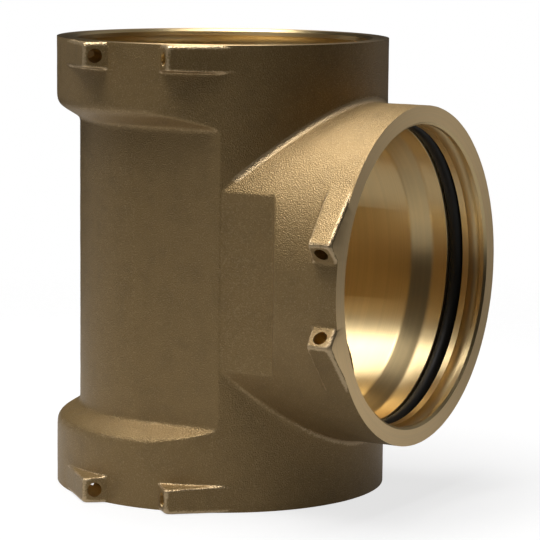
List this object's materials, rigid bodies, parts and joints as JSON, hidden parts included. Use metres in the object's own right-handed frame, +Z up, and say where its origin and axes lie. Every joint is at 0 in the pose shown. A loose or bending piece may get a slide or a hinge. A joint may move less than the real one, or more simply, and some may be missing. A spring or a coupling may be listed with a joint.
{
  "type": "modular tee",
  "caption": "Cast pipe tee with three equal push-in sockets, each with an O-ring, a lock groove and a pair of drilled lock lugs.",
  "frame": {"origin": "the point where the run axis and the branch axis cross", "axes": "+Z up along the run, +X out along the branch, the lock lugs face -Y"},
  "size_m": [0.147, 0.1294, 0.169],
  "materials": {
    "bronze": "sand-cast skin, turned sockets",
    "rubber": "satin"
  },
  "bodies": {
    "root": {"tee_body": "bronze", "top_oring": "rubber", "bottom_oring": "rubber", "branch_oring": "rubber"}
  },
  "joints": []
}
